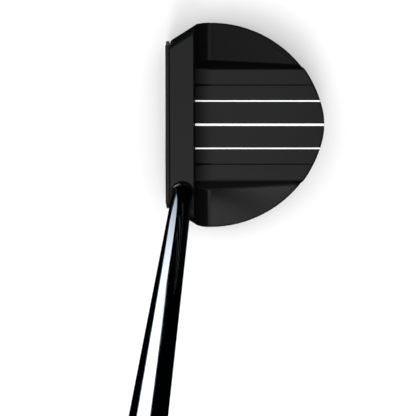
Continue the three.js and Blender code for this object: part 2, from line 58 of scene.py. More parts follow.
HEAD_DEPTH = 74.4
HALF_WIDTH = 49.7
WIDEST_Y = FACE_Y + 19.5
REAR_Y = FACE_Y + HEAD_DEPTH
SIDE_SWEEP = math.radians(75)
SHOULDER_RADIUS = 12.0
SHOULDER_ANGLE = math.radians(32)
OUTLINE_LEAD = 4.0  # the outline starts this far in front of the face

BAR_FRONT_Y = FACE_Y + 2.2
BAR_REAR_Y = FACE_Y + 13.3
DECK_Z = 21.4
DECK_HALF_WIDTH = 26.4
SCOOP_LENGTH = 10.0
SCOOP_RISE = 0.85
SCOOP_BEND = 0.6
FOOT_RADIUS = 0.9
FOOT_LIFT = 0.1
BAR_END_INSET = 3.9
BAR_END_FOOT_Z = 12.0
BAR_END_BELOW_FOOT = 4.0
BAR_END_ABOVE_TOPLINE = 5.0

WING_DEPTH = 9.6
WING_RISE = math.atan(0.142)
WING_TILT = math.radians(6)
WING_FILLET = 7.0
DECK_DRAFT = math.atan(0.44)

SOLE_REAR_Y = 20.0
SOLE_REAR_RISE = 8.0
SOLE_REAR_BEND = 2.0
SOLE_REAR_STRAIGHT = 3.0
SOLE_HALF_FLAT = 36.0
SOLE_SIDE_RISE = 5.5
SOLE_FRONT_BEVEL = 1.6

# how far the edges of the head are rounded
LEAST_TURN = 14  # degrees; an edge that turns less stays as it is
BAR_END_EDGE = 1.9
TOPLINE_FRONT_EDGE = 0.15
TOPLINE_EDGE = 0.3
DECK_SIDE_EDGE = 1.0
SOLE_EDGE = 0.9
INNER_EDGE = 0.7
OUTER_WALL_EDGE = 0.85
OTHER_EDGE = 0.4

LINE_SPACING = 11.07
CENTRE_LINE_WIDTH = 1.06
SIDE_LINE_WIDTH = 0.66
LINE_START_Y = FACE_Y + 13.85
LINE_GROOVE_DEPTH = 0.5
LINE_SIDE_GAP = 0.03
LINE_UNDER_GAP = 0.05
GROOVE_START_Y = BAR_REAR_Y + 0.45
ENGRAVED_START_Y = BAR_REAR_Y + 0.6
ENGRAVED_X = 18.5
ENGRAVED_WIDTH = 0.5
ENGRAVED_DEPTH = 0.3
ENGRAVER_HEIGHT = 1.5

PLATE_THICKNESS = 1.75
PLATE_TOP_DROP = 0.2
PLATE_TOP_HALF = 36.6
PLATE_HALF = 40.0
PLATE_SHOULDER_DROP = 11.0
PLATE_HEIGHT = 22.4
PLATE_CORNER = 5.0
PLATE_FRONT_EDGE = 0.5
PLATE_REAR_EDGE = 0.12
BACKING_FRONT = 1.82
BACKING_THICKNESS = 0.3
BACKING_INSET = 0.8
FACE_GROOVES = 9
FACE_GROOVE_PITCH = 1.8
FACE_GROOVE_WIDTH = 0.7
FACE_GROOVE_DEPTH = 0.25
FACE_GROOVE_HALF_LENGTH = 30.0

SOLE_PLATE_THICKNESS = 2.4
SOLE_PLATE_HALF_WIDTH = 34.5
SOLE_PLATE_FRONT_Y = -30.5
SOLE_PLATE_REAR_Y = 19.5
SOLE_PLATE_CORNER = 6.0
SOLE_PLATE_FLANK_Y = -4.0
SOLE_PLATE_BEND = 2.0
SOLE_PLATE_EDGE = 0.25
SOLE_HOLE_EDGE = 0.12
SOLE_HOLE_TOP = 4.0
RECESS_GAP = 0.1
SCREW_PLACES = [(-12, -25), (12, -25), (-30.5, -10), (30.5, -10), (-13, 14), (13, 14)]
SCREW_RADIUS = 1.5
SCREW_LENGTH = 7.5
SCREW_HEAD_RADIUS = 2.8
SCREW_HEAD_HEIGHT = 1.5
SCREW_HEAD_EDGE = 0.15
SCREW_TIP_EDGE = 0.5
SCREW_TURN = 17  # degrees from one screw to the next
SOCKET_DEPTH = 1.2
WEIGHT_X = 18.5
WEIGHT_Y = -8.0
WEIGHT_RADIUS = 8.0
WEIGHT_HEIGHT = 6.5
WEIGHT_EDGE = 0.5
WEIGHT_GROOVE = ((2.2, 0), (2.0, 0.25), (1.6, 0.25), (1.4, 0))  # (from the rim, depth)
WEIGHT_POCKET_GAP = 0.3
WEIGHT_TURN = 25  # degrees
PIN_HOLE_RADIUS = 0.9
PIN_HOLE_DEPTH = 2.0
PIN_HOLE_OFFSET = 4.4
SUNK = 0.15  # of the screws and the weights, in the sole
SEAT_GAP = 0.15

LIE = math.radians(70)
SHAFT_X = 31.5
SHAFT_Y = FACE_Y + 7.9
TIP_RADIUS = 4.7
BUTT_RADIUS = 7.37
CLUB_ABOVE_TOPLINE = 837.0
SHAFT_DEPTH = 19.0
SHAFT_WALL = 0.55
SHAFT_TIP_EDGE = 0.3
SHAFT_STATIONS = 60
BORE_DEPTH = 19.5
BORE_GAP = 0.12
PLUG_GAP = 0.1
PLUG_INSET = 1.0
PLUG_LENGTH = 9.0
PLUG_TIP = (0.6, 1.2)  # how much its tip narrows, and over which length
FERRULE_RADIUS = 5.15
FERRULE_DEPTH = 1.1
FERRULE_STAND = 2.2
FERRULE_ROUND = 1.1
FERRULE_LIP = 0.1
FERRULE_GAP = 0.05
FERRULE_SEAT_GAP = 0.1
GRIP_LENGTH = 266.0
GRIP_START = CLUB_ABOVE_TOPLINE - GRIP_LENGTH
BAND_END = GRIP_START - 48.0
BAND_LENGTH = 62.0
TAPE_START = GRIP_START + 12.0

GRIP_HALF = (9.2, 14.0)  # half its thickness, at the mouth and at the butt
GRIP_FLAT = (8.6, 10.6)  # from the axis to its flat front, likewise
FLAT_REACH = 1.6  # how the round sides ease into the flat front
FLAT_POWER = 2.6
BELLY = 5.5
BELLY_START = 0.45  # shares of the grip's length
BELLY_FULL = 0.85
BELLY_LOSS = 0.45  # of its depth, at the butt
RINGED_LENGTH = 9.0
RING_DEPTH = 0.22
RING_RATE = 2.1  # radians for each millimetre
DIAMOND_DEPTH = 0.24
DIAMONDS_AROUND = 26
DIAMOND_RATE = 1.1
GRIP_MOUTH_ROUND = (0.9, 1.4)  # how much the end narrows, and over which length
GRIP_BUTT_ROUND = (1.6, 2.0)
GRIP_BORE_GAP = 0.35

CAP_GAP = 0.1
CAP_HEIGHT = 3.2
CAP_RADIUS = 10.0
CAP_RIM_RADIUS = 9.8
CAP_STEM_GAP = 0.3
CAP_STEM_LENGTH = 6.0
VENT_RADIUS = 1.5

ROUND_STEPS = 96

# ---------------------------------------------------------------- building blocks


def solid(name, bm):
    """An object that holds the bmesh, linked to the scene so that modifiers can be evaluated."""
    bmesh.ops.recalc_face_normals(bm, faces=bm.faces)
    mesh = bpy.data.meshes.new(name)
    bm.to_mesh(mesh)
    bm.free()
    obj = bpy.data.objects.new(name, mesh)
    bpy.context.scene.collection.objects.link(obj)
    return obj


def prism(name, outline, plane, low, high):
    """A closed outline in the xy, yz or xz plane, pushed along the remaining axis."""
    place = {
        "xy": lambda a, b, c: (a, b, c),
        "yz": lambda a, b, c: (c, a, b),
        "xz": lambda a, b, c: (a, c, b),
    }[plane]
    bm = bmesh.new()
    lower, upper = ([bm.verts.new(place(a, b, c)) for a, b in outline] for c in (low, high))
    for i in range(len(outline)):
        j = (i + 1) % len(outline)
        bm.faces.new((lower[i], lower[j], upper[j], upper[i]))
    bm.faces.new(lower)
    bm.faces.new(upper)
    return solid(name, bm)


def box(name, x, y, z):
    """A box from (low, high) pairs."""
    return prism(name, [(x[0], y[0]), (x[1], y[0]), (x[1], y[1]), (x[0], y[1])], "xy", z[0], z[1])


def turned(name, profile, steps=ROUND_STEPS):
    """A profile of (radius, height) turned about Z; one that starts off the axis closes on itself."""
    bm = bmesh.new()
    rings = []
    for radius, height in profile:
        if radius == 0:
            rings.append([bm.verts.new((0, 0, height))])
            continue
        angles = [2 * math.pi * k / steps for k in range(steps)]
        ring = [(radius * math.cos(a), radius * math.sin(a), height) for a in angles]
        rings.append([bm.verts.new(point) for point in ring])
    pairs = list(zip(rings, rings[1:]))
    if profile[0][0] > 0:
        pairs.append((rings[-1], rings[0]))
    for low, high in pairs:
        for k in range(steps):
            corners = [low[k % len(low)], low[(k + 1) % len(low)],
                       high[(k + 1) % len(high)], high[k % len(high)]]
            unique = list(dict.fromkeys(corners))
            if len(unique) > 2:
                bm.faces.new(unique)
    return solid(name, bm)


def evaluated(obj):
    """Makes the object's modifiers part of its mesh."""
    depsgraph = bpy.context.evaluated_depsgraph_get()
    mesh = bpy.data.meshes.new_from_object(obj.evaluated_get(depsgraph))
    obj.modifiers.clear()
    obj.data = mesh
    return obj


def combine(obj, tool, operation):
    """Cuts or intersects obj with tool, which is used up."""
    modifier = obj.modifiers.new("combine", "BOOLEAN")
    modifier.operation = operation
    modifier.solver = "EXACT"
    modifier.object = tool
    bpy.context.view_layer.update()
    evaluated(obj)
    bpy.data.objects.remove(tool)
    return obj


def cut(obj, *tools):
    """Takes each of the tools out of obj."""
    for tool in tools:
        combine(obj, tool, "DIFFERENCE")
    return obj


def tidy(obj, same=1e-4, flat=math.radians(0.3)):
    """Joins coplanar facets, so that each flat stretch is one face."""
    bm = bmesh.new()
    bm.from_mesh(obj.data)
    bmesh.ops.remove_doubles(bm, verts=bm.verts, dist=same)
    bmesh.ops.dissolve_limit(bm, angle_limit=flat, verts=bm.verts, edges=bm.edges)
    bm.to_mesh(obj.data)
    bm.free()
    return obj


def soften(obj, width_of, segments=4):
    """Rounds each edge by the width that width_of(edge) gives, in one pass."""
    bm = bmesh.new()
    bm.from_mesh(obj.data)
    widths = [width_of(edge) if len(edge.link_faces) == 2 else 0 for edge in bm.edges]
    widest = max(widths)
    layer = bm.edges.layers.float.new("bevel_weight_edge")
    for edge, width in zip(bm.edges, widths):
        edge[layer] = width / widest
    bm.to_mesh(obj.data)
    bm.free()
    modifier = obj.modifiers.new("soften", "BEVEL")
    modifier.limit_method = "WEIGHT"
    modifier.width = widest
    modifier.segments = segments
    modifier.use_clamp_overlap = False
    bpy.context.view_layer.update()
    return evaluated(obj)


def even_width(width, sharper_than=25):
    """The same width on every edge that turns more than so many degrees."""
    return lambda edge: width if math.degrees(edge.calc_face_angle(0)) > sharper_than else 0


def onto_shaft(obj):
    """Puts an object made about Z onto the shaft axis."""
    tilt = Matrix.Rotation(math.pi / 2 - LIE, 4, "Y")
    obj.data.transform(Matrix.Translation((SHAFT_X, SHAFT_Y, TOPLINE_Z)) @ tilt)
    return obj


def onto_face(obj):
    """Puts an object drawn from the topline down, with its front at y 0, onto the lofted face."""
    lean = Matrix.Translation((0, FACE_Y, TOPLINE_Z)) @ Matrix.Rotation(-LOFT, 4, "X")
    obj.data.transform(lean)
    return obj


def finish_piece(obj, name, nodes, material, sharp_angle=32, weighted=True):
    """Scales a piece to metres, shades it, gives it its material and ties it to the frame."""
    obj.name = name
    obj.data.name = name
    obj.data.transform(Matrix.Scale(MM, 4))
    obj.data.shade_smooth()
    obj.data.set_sharp_from_angle(angle=math.radians(sharp_angle))
    if weighted:
        modifier = obj.modifiers.new("flat_faces_stay_flat", "WEIGHTED_NORMAL")
        modifier.keep_sharp = True
    obj.data.materials.clear()
    obj.data.materials.append(material)
    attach(obj, "root")
    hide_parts(*nodes)
    return obj


# ---------------------------------------------------------------- materials


class Shader:
    """A Principled material with object-space procedural detail."""

    def __init__(self, name, colour, roughness, metallic=0.0, **sockets):
        self.material = bpy.data.materials.new(name)
        self.material.use_nodes = True
        self.nodes = self.material.node_tree.nodes
        self.links = self.material.node_tree.links
        self.bsdf = self.nodes["Principled BSDF"]
        self.bsdf.inputs["Base Color"].default_value = (*colour, 1)
        self.bsdf.inputs["Roughness"].default_value = roughness
        self.bsdf.inputs["Metallic"].default_value = metallic
        for socket, value in sockets.items():
            self.bsdf.inputs[socket.replace("_", " ")].default_value = value
        self.colour = colour
        self.place = self.nodes.new("ShaderNodeTexCoord").outputs["Object"]
        self.normal = None

    def mapped(self, scale):
        """The object's own coordinates, stretched."""
        mapping = self.nodes.new("ShaderNodeMapping")
        mapping.inputs["Scale"].default_value = scale
        self.links.new(self.place, mapping.inputs["Vector"])
        return mapping.outputs["Vector"]

    def noise(self, scale, detail=2.0, stretch=(1, 1, 1)):
        texture = self.nodes.new("ShaderNodeTexNoise")
        texture.inputs["Scale"].default_value = scale
        texture.inputs["Detail"].default_value = detail
        self.links.new(self.mapped(stretch), texture.inputs["Vector"])
        return texture.outputs["Fac"]

    def spread(self, value, low, high):
        """Turns a 0.3 to 0.7 noise into low to high."""
        ramp = self.nodes.new("ShaderNodeMapRange")
        ramp.inputs["From Min"].default_value = 0.3
        ramp.inputs["From Max"].default_value = 0.7
        ramp.inputs["To Min"].default_value = low
        ramp.inputs["To Max"].default_value = high
        self.links.new(value, ramp.inputs["Value"])
        return ramp.outputs["Result"]

    def vary_roughness(self, value, low, high):
        self.links.new(self.spread(value, low, high), self.bsdf.inputs["Roughness"])
        return self

    def vary_colour(self, value, low, high):
        """Multiplies the base colour by low to high."""
        mix = self.nodes.new("ShaderNodeMix")
        mix.data_type = "RGBA"
        mix.inputs["A"].default_value = (*[c * low for c in self.colour], 1)
        mix.inputs["B"].default_value = (*[c * high for c in self.colour], 1)
        self.links.new(self.spread(value, 0, 1), mix.inputs["Factor"])
        self.links.new(mix.outputs["Result"], self.bsdf.inputs["Base Color"])
        return self

    def bump(self, value, distance, strength=1.0):
        node = self.nodes.new("ShaderNodeBump")
        node.inputs["Distance"].default_value = distance
        node.inputs["Strength"].default_value = strength
        self.links.new(value, node.inputs["Height"])
        if self.normal:
            self.links.new(self.normal, node.inputs["Normal"])
        self.normal = node.outputs["Normal"]
        self.links.new(self.normal, self.bsdf.inputs["Normal"])
        return self


def anodised(name, colour, roughness):
    shader = Shader(name, colour, roughness)
    shader.vary_roughness(shader.noise(4000, detail=3), roughness - 0.02, roughness + 0.03)
    shader.vary_colour(shader.noise(900, detail=4), 0.9, 1.1)
    shader.bump(shader.noise(9000, detail=2), distance=0.00001, strength=0.2)
    return shader.material


def milled_face():
    shader = Shader("face_milled_black", (0.003, 0.003, 0.0032), 0.34)
    shader.vary_roughness(shader.noise(1500, detail=2, stretch=(0.05, 1, 1)), 0.28, 0.44)
    shader.vary_colour(shader.noise(600, detail=3, stretch=(0.08, 1, 1)), 0.85, 1.2)
    shader.bump(shader.noise(5000, detail=2, stretch=(0.03, 1, 1)), distance=0.00003, strength=0.5)
    return shader.material


def brushed(name, colour, roughness, stretch):
    shader = Shader(name, colour, roughness, 1.0)
    shader.vary_roughness(shader.noise(1800, detail=3, stretch=stretch), roughness - 0.08, roughness + 0.1)
    shader.vary_colour(shader.noise(2600, detail=3, stretch=stretch), 0.86, 1.06)
    shader.bump(shader.noise(6000, detail=2, stretch=stretch), distance=0.00001, strength=0.5)
    return shader.material


def black_chrome():
    shader = Shader("shaft_black_chrome", (0.07, 0.073, 0.077), 0.1, 1.0,
                    Specular_Tint=(0.55, 0.59, 0.64, 1))
    shader.vary_roughness(shader.noise(60, detail=3), 0.085, 0.12)
    shader.vary_colour(shader.noise(25, detail=2), 0.97, 1.03)
    return shader.material


def plain(name, colour, roughness, grain, depth):
    """Plastic, rubber, paint or paper, with a fine grain of its own."""
    shader = Shader(name, colour, roughness)
    shader.vary_roughness(shader.noise(grain, detail=3), roughness - 0.06, roughness + 0.06)
    shader.vary_colour(shader.noise(grain / 4, detail=3), 0.94, 1.04)
    shader.bump(shader.noise(grain, detail=2), distance=depth, strength=0.5)
    return shader.material


MATERIALS = {
    "head": anodised("head_anodised_black", (0.0016, 0.0016, 0.0017), 0.22),
    "face": milled_face(),
    "backing": plain("backing_rubber", (0.002, 0.002, 0.0022), roughness=0.8, grain=3000, depth=0.00004),
    "line": plain("line_enamel", (0.93, 0.93, 0.91), roughness=0.32, grain=1500, depth=0.00001),
    "sole": brushed("sole_brushed_steel", (0.46, 0.46, 0.47), 0.3, (0.04, 1, 1)),
    "screw": brushed("screw_steel", (0.55, 0.55, 0.56), 0.22, (1, 1, 0.2)),
    "weight": brushed("weight_steel", (0.52, 0.52, 0.53), 0.24, (0.3, 1, 1)),
    "ferrule": plain("ferrule_plastic", (0.002, 0.002, 0.0022), roughness=0.2, grain=900, depth=0.00001),
    "shaft": black_chrome(),
    "plug": plain("plug_cork", (0.42, 0.28, 0.15), roughness=0.85, grain=1200, depth=0.0002),
    "band": plain("band_film", (0.2, 0.205, 0.215), roughness=0.3, grain=700, depth=0.00001),
    "tape": plain("tape_paper", (0.68, 0.63, 0.52), roughness=0.85, grain=2000, depth=0.00005),
    "grip": plain("grip_rubber", (0.012, 0.012, 0.013), roughness=0.62, grain=2500, depth=0.00006),
    "cap": plain("cap_rubber", (0.009, 0.009, 0.01), roughness=0.45, grain=1800, depth=0.00003),
}

# ---------------------------------------------------------------- head


def arc(centre, radius, start, end, steps):
    """Points on an arc, its angles in radians from the first axis towards the second."""
    turns = [start + (end - start) * k / steps for k in range(steps + 1)]
    return [(centre[0] + radius * math.cos(t), centre[1] + radius * math.sin(t)) for t in turns]


def curve(start, control, end, steps=16):
    """Points on a quadratic curve, without its start."""
    points = []
    for k in range(1, steps + 1):
        t = k / steps
        pulls = ((1 - t) ** 2, start), (2 * t * (1 - t), control), (t * t, end)
        points.append(tuple(sum(weight * point[i] for weight, point in pulls) for i in (0, 1)))
    return points


def without_repeats(points, same=1e-3):
    kept = [points[0]]
    for p in points[1:]:
        if math.dist(p, kept[-1]) > same:
            kept.append(p)
    return kept


def shoulder_start():
    """Where the straight shoulder beside the bar runs into its round corner."""
    x = HALF_WIDTH - SHOULDER_RADIUS * (1 - math.cos(SHOULDER_ANGLE))
    y = WIDEST_Y - SHOULDER_RADIUS * math.sin(SHOULDER_ANGLE)
    return x, y


def head_outline():
    """The head from above: a straight shoulder, its round corner, a round side and a flatter rear."""
    sine, cosine = math.sin(SIDE_SWEEP), math.cos(SIDE_SWEEP)
    share = (1 - sine) / cosine
    depth = REAR_Y - WIDEST_Y
    side = (depth - share * HALF_WIDTH) / (sine - share * (1 - cosine))
    rear = (HALF_WIDTH - side * (1 - cosine)) / cosine
    x, y = shoulder_start()
    front_y = FACE_Y - OUTLINE_LEAD
    corner = (HALF_WIDTH - SHOULDER_RADIUS, WIDEST_Y)
    heel = [(x - (y - front_y) * math.tan(SHOULDER_ANGLE), front_y)]
    heel += arc(corner, SHOULDER_RADIUS, -SHOULDER_ANGLE, 0, steps=12)
    heel += arc((HALF_WIDTH - side, WIDEST_Y), side, 0, SIDE_SWEEP, steps=36)
    heel += arc((0, REAR_Y - rear), rear, SIDE_SWEEP, math.pi / 2, steps=18)
    heel = without_repeats(heel)
    return heel + [(-x, y) for x, y in reversed(heel[:-1])]


def front_at(z):
    """Where the lofted front of the bar is at a height."""
    return BAR_FRONT_Y - (TOPLINE_Z - z) * math.tan(LOFT)


def scoop():
    """The deck sweeping up to the bar: a long shallow rise, then the foot of the step."""
    start = (BAR_REAR_Y + SCOOP_LENGTH, DECK_Z)
    foot = (BAR_REAR_Y + FOOT_RADIUS, DECK_Z + SCOOP_RISE)
    rise = curve(start, (BAR_REAR_Y + SCOOP_LENGTH * SCOOP_BEND, DECK_Z), foot, steps=20)
    corner = (BAR_REAR_Y, DECK_Z + SCOOP_RISE + FOOT_LIFT)
    wall = (BAR_REAR_Y, DECK_Z + SCOOP_RISE + FOOT_RADIUS)
    return [start, *rise, *curve(foot, corner, wall, steps=10)]


def side_profile():
    """The head from the side: the sole, the deck, the step and the bar, as (y, z)."""
    rear = REAR_Y + OVER
    flat_end = (SOLE_REAR_Y, 0)
    bend = ((SOLE_REAR_Y + REAR_Y) / 2 + SOLE_REAR_BEND, 0)
    rise = curve(flat_end, bend, (rear, SOLE_REAR_RISE))
    # straight over the last few millimetres, where the rear edge is rounded
    rise = [(y, z) for y, z in rise if y < REAR_Y - SOLE_REAR_STRAIGHT]
    return [
        (front_at(0) + SOLE_FRONT_BEVEL, 0), flat_end, *rise, (rear, SOLE_REAR_RISE),
        (rear, DECK_Z), *scoop(), (BAR_REAR_Y, TOPLINE_Z), (BAR_FRONT_Y, TOPLINE_Z),
        (front_at(SOLE_FRONT_BEVEL), SOLE_FRONT_BEVEL),
    ]


def front_profile():
    """The sole from the front, flat in the middle and rising at the sides, as (x, z)."""
    reach = HALF_WIDTH + OVER
    flat_end = (SOLE_HALF_FLAT, 0)
    bend = ((SOLE_HALF_FLAT + reach) / 2, 0)
    right = [flat_end, *curve(flat_end, bend, (reach, SOLE_SIDE_RISE)), (reach, FAR)]
    return right + [(-x, z) for x, z in reversed(right)]


def wing_cutter(side):
    """The space above a wing. side is 1 for the heel and -1 for the toe."""
    floor_z = DECK_Z - WING_DEPTH
    centre = (BAR_REAR_Y + WING_FILLET, floor_z + WING_FILLET)
    rear_y = REAR_Y + CLEAR
    fillet = arc(centre, WING_FILLET, math.pi, 1.5 * math.pi + WING_RISE, steps=24)
    profile = [(BAR_REAR_Y, FAR), *fillet]
    foot_y, foot_z = profile[-1]
    profile += [(rear_y, foot_z + (rear_y - foot_y) * math.tan(WING_RISE)), (rear_y, FAR)]
    space = prism("wing", profile, "yz", -FAR, FAR)
    to_edge = Matrix.Translation((DECK_HALF_WIDTH, 0, floor_z))
    space.data.transform(to_edge @ Matrix.Rotation(WING_TILT, 4, "Y") @ to_edge.inverted())
    wall = box("wall", (0, FAR), (-FAR, FAR), (-FAR, FAR))
    draft = Matrix.Rotation(-DECK_DRAFT, 4, "Y")
    wall.data.transform(Matrix.Translation((DECK_HALF_WIDTH, 0, DECK_Z)) @ draft)
    return mirrored(combine(space, wall, "INTERSECT"), side)


def bar_end_cutter(side):
    """What is taken off above the steep end of the bar."""
    x, y = shoulder_start()
    foot = x * math.cos(SHOULDER_ANGLE) - y * math.sin(SHOULDER_ANGLE)
    slope = BAR_END_INSET / (TOPLINE_Z - BAR_END_FOOT_Z)
    low_z = BAR_END_FOOT_Z - BAR_END_BELOW_FOOT
    top_z = TOPLINE_Z + BAR_END_ABOVE_TOPLINE
    far = FAR + CLEAR
    steep = [(foot - (z - BAR_END_FOOT_Z) * slope, z) for z in (top_z, low_z)]
    wedge = prism("bar_end", steep + [(far, low_z), (far, top_z)], "xz", -FAR, FAR / 2)
    wedge.data.transform(Matrix.Rotation(-SHOULDER_ANGLE, 4, "Z"))
    return mirrored(wedge, side)


def mirrored(obj, side):
    """The object itself for the heel side, 1, and its mirror image for the toe side, -1."""
    if side < 0:
        obj.data.transform(Matrix.Scale(-1, 4, (1, 0, 0)))
        obj.data.flip_normals()
    return obj


def head_edge_width(edge):
    """How far an edge of the head block is rounded, told by where it is and how its faces lean."""
    level, near = 0.01, 0.1
    if math.degrees(edge.calc_face_angle(0)) < LEAST_TURN:
        return 0
    middle = (edge.verts[0].co + edge.verts[1].co) / 2
    lower, upper = sorted(face.normal.z for face in edge.link_faces)
    on_topline = all(abs(v.co.z - TOPLINE_Z) < level for v in edge.verts)
    on_deck = all(-level < v.co.z - DECK_Z < SCOOP_RISE + FOOT_RADIUS for v in edge.verts)
    on_bar_end = 0.2 < lower < 0.7
    if on_topline and on_bar_end:
        return BAR_END_EDGE
    if on_topline:
        return TOPLINE_FRONT_EDGE if middle.y < BAR_FRONT_Y + near else TOPLINE_EDGE
    if on_deck and abs(abs(middle.x) - DECK_HALF_WIDTH) < near:
        return DECK_SIDE_EDGE
    faces_down = lower < -0.5
    if faces_down:
        return SOLE_EDGE
    if not edge.is_convex:
        return INNER_EDGE
    on_outer_wall = min(abs(lower), abs(upper)) < near
    if on_outer_wall and middle.z < DECK_Z + near:
        return OUTER_WALL_EDGE
    return OTHER_EDGE


def head_block():
    """The head body before its grooves and holes."""
    block = prism("head", head_outline(), "xy", 0, TOPLINE_Z + OVER)
    combine(block, prism("side", side_profile(), "yz", -FAR, FAR), "INTERSECT")
    combine(block, prism("front", front_profile(), "xz", -FAR, FAR), "INTERSECT")
    for side in (-1, 1):
        cut(block, wing_cutter(side), bar_end_cutter(side))
    return soften(tidy(block), head_edge_width)


def deck_groove(x, width, depth):
    """What is cut out of the deck for a white line."""
    half = width / 2
    return box("groove", (x - half, x + half), (GROOVE_START_Y, FAR), (DECK_Z - depth, DECK_Z + OVER))


def engraved_line(x):
    """A fine V-shaped groove along the deck."""
    half, top = ENGRAVED_WIDTH / 2, ENGRAVER_HEIGHT
    slope = half / ENGRAVED_DEPTH
    outline = [(0, -ENGRAVED_DEPTH), (half + top * slope, top), (-half - top * slope, top)]
    groove = prism("groove", outline, "xz", ENGRAVED_START_Y, FAR)
    groove.data.transform(Matrix.Translation((x, 0, DECK_Z)))
    return groove


def round_cutter(x, y, radius, top, steps=ROUND_STEPS):
    """An upright round cutter at (x, y), from just under the sole up to top."""
    tool = turned("hole", [(0, -OVER), (radius, -OVER), (radius, top), (0, top)], steps)
    tool.data.transform(Matrix.Translation((x, y, 0)))
    return tool


def sole_outline(inset):
    """The sole plate from below, shrunk by the inset."""
    half = SOLE_PLATE_HALF_WIDTH - inset
    front = SOLE_PLATE_FRONT_Y + inset
    rear = SOLE_PLATE_REAR_Y - inset
    corner = SOLE_PLATE_CORNER - inset
    start = (half - corner, front)
    flank = (half, SOLE_PLATE_FLANK_Y)
    right = [start, *curve(start, (half, front), (half, front + corner), steps=10)]
    right += [flank, *curve(flank, (half - SOLE_PLATE_BEND, rear), (0, rear), steps=24)]
    return right + [(-x, y) for x, y in reversed(right[:-1])]


def cut_for_lines(block):
    """Cuts the grooves of the white lines and gives the strips that fill them, with their names."""
    lines = []
    for name, x, width in (
        ("alignment_line_toe", -LINE_SPACING, SIDE_LINE_WIDTH),
        ("alignment_line_centre", 0, CENTRE_LINE_WIDTH),
        ("alignment_line_heel", LINE_SPACING, SIDE_LINE_WIDTH),
    ):
        strip = box(name, (x - width / 2, x + width / 2), (LINE_START_Y, FAR),
                    (DECK_Z - LINE_GROOVE_DEPTH + LINE_UNDER_GAP, DECK_Z + OVER))
        copy = bpy.data.objects.new("block", block.data.copy())
        bpy.context.scene.collection.objects.link(copy)
        lines.append((name, combine(strip, copy, "INTERSECT")))
        cut(block, deck_groove(x, width + 2 * LINE_SIDE_GAP, LINE_GROOVE_DEPTH))
    return lines


def cut_for_shaft(block):
    """Cuts the tilted bore and the seat of the ferrule at its mouth."""
    for name, radius, depth in (
        ("bore", TIP_RADIUS + BORE_GAP, BORE_DEPTH),
        ("seat", FERRULE_RADIUS + FERRULE_SEAT_GAP, FERRULE_DEPTH + FERRULE_SEAT_GAP),
    ):
        cut(block, onto_shaft(turned(name, [(0, -depth), (radius, -depth), (radius, CLEAR), (0, CLEAR)])))


def cut_for_sole(block):
    """Cuts the recess of the sole plate, the screw holes and the weight pockets."""
    cut(block, prism("recess", sole_outline(-SEAT_GAP), "xy", -OVER, SOLE_PLATE_THICKNESS + RECESS_GAP))
    for x, y in SCREW_PLACES:
        cut(block, round_cutter(x, y, SCREW_RADIUS + SEAT_GAP, SCREW_LENGTH + OVER, steps=32))
    for side in (-1, 1):
        cut(block, round_cutter(side * WEIGHT_X, WEIGHT_Y, WEIGHT_RADIUS + SEAT_GAP,
                                WEIGHT_HEIGHT + WEIGHT_POCKET_GAP, steps=64))


def make_head():
    block = head_block()
    lines = cut_for_lines(block)
    for side in (-1, 1):
        cut(block, engraved_line(side * ENGRAVED_X))
    cut_for_shaft(block)
    cut_for_sole(block)
    finish_piece(block, "head_body_fine", ["head_body"], MATERIALS["head"])
    for name, strip in lines:
        finish_piece(strip, name + "_fine", [name], MATERIALS["line"])


def face_outline(inset):
    """The face from the front, as (x, z) below the topline."""
    top = -PLATE_TOP_DROP - inset
    bottom = -PLATE_TOP_DROP - PLATE_HEIGHT + inset
    half = PLATE_HALF - inset
    corner = PLATE_CORNER - inset
    start = (half - corner, bottom)
    right = [start, *curve(start, (half, bottom), (half, bottom + corner), steps=12)]
    right += [(half, -PLATE_TOP_DROP - PLATE_SHOULDER_DROP), (PLATE_TOP_HALF - inset / 2, top)]
    return right + [(-x, z) for x, z in reversed(right)]


def plate_edge_width(edge):
    """The front edges of the face plate are rounded more than the others."""
    in_front = edge.verts[0].co.y + edge.verts[1].co.y < PLATE_THICKNESS / 2
    return PLATE_FRONT_EDGE if in_front else PLATE_REAR_EDGE


def make_face():
    plate = prism("plate", face_outline(0), "xz", 0, PLATE_THICKNESS)
    soften(plate, plate_edge_width)
    middle = -PLATE_TOP_DROP - PLATE_HEIGHT / 2
    half = FACE_GROOVE_WIDTH / 2
    for i in range(FACE_GROOVES):
        z = middle + (i - (FACE_GROOVES - 1) / 2) * FACE_GROOVE_PITCH
        profile = [(-OVER, z - half), (0, z - half), (FACE_GROOVE_DEPTH, z - half / 2),
                   (FACE_GROOVE_DEPTH, z + half / 2), (0, z + half), (-OVER, z + half)]
        cut(plate, prism("groove", profile, "yz", -FACE_GROOVE_HALF_LENGTH, FACE_GROOVE_HALF_LENGTH))
    finish_piece(onto_face(plate), "face_plate_fine", ["face_plate"], MATERIALS["face"])
    rear = BACKING_FRONT + BACKING_THICKNESS
    layer = prism("layer", face_outline(BACKING_INSET), "xz", BACKING_FRONT, rear)
    finish_piece(onto_face(layer), "face_backing_fine", ["face_backing"], MATERIALS["backing"])


# ---------------------------------------------------------------- sole


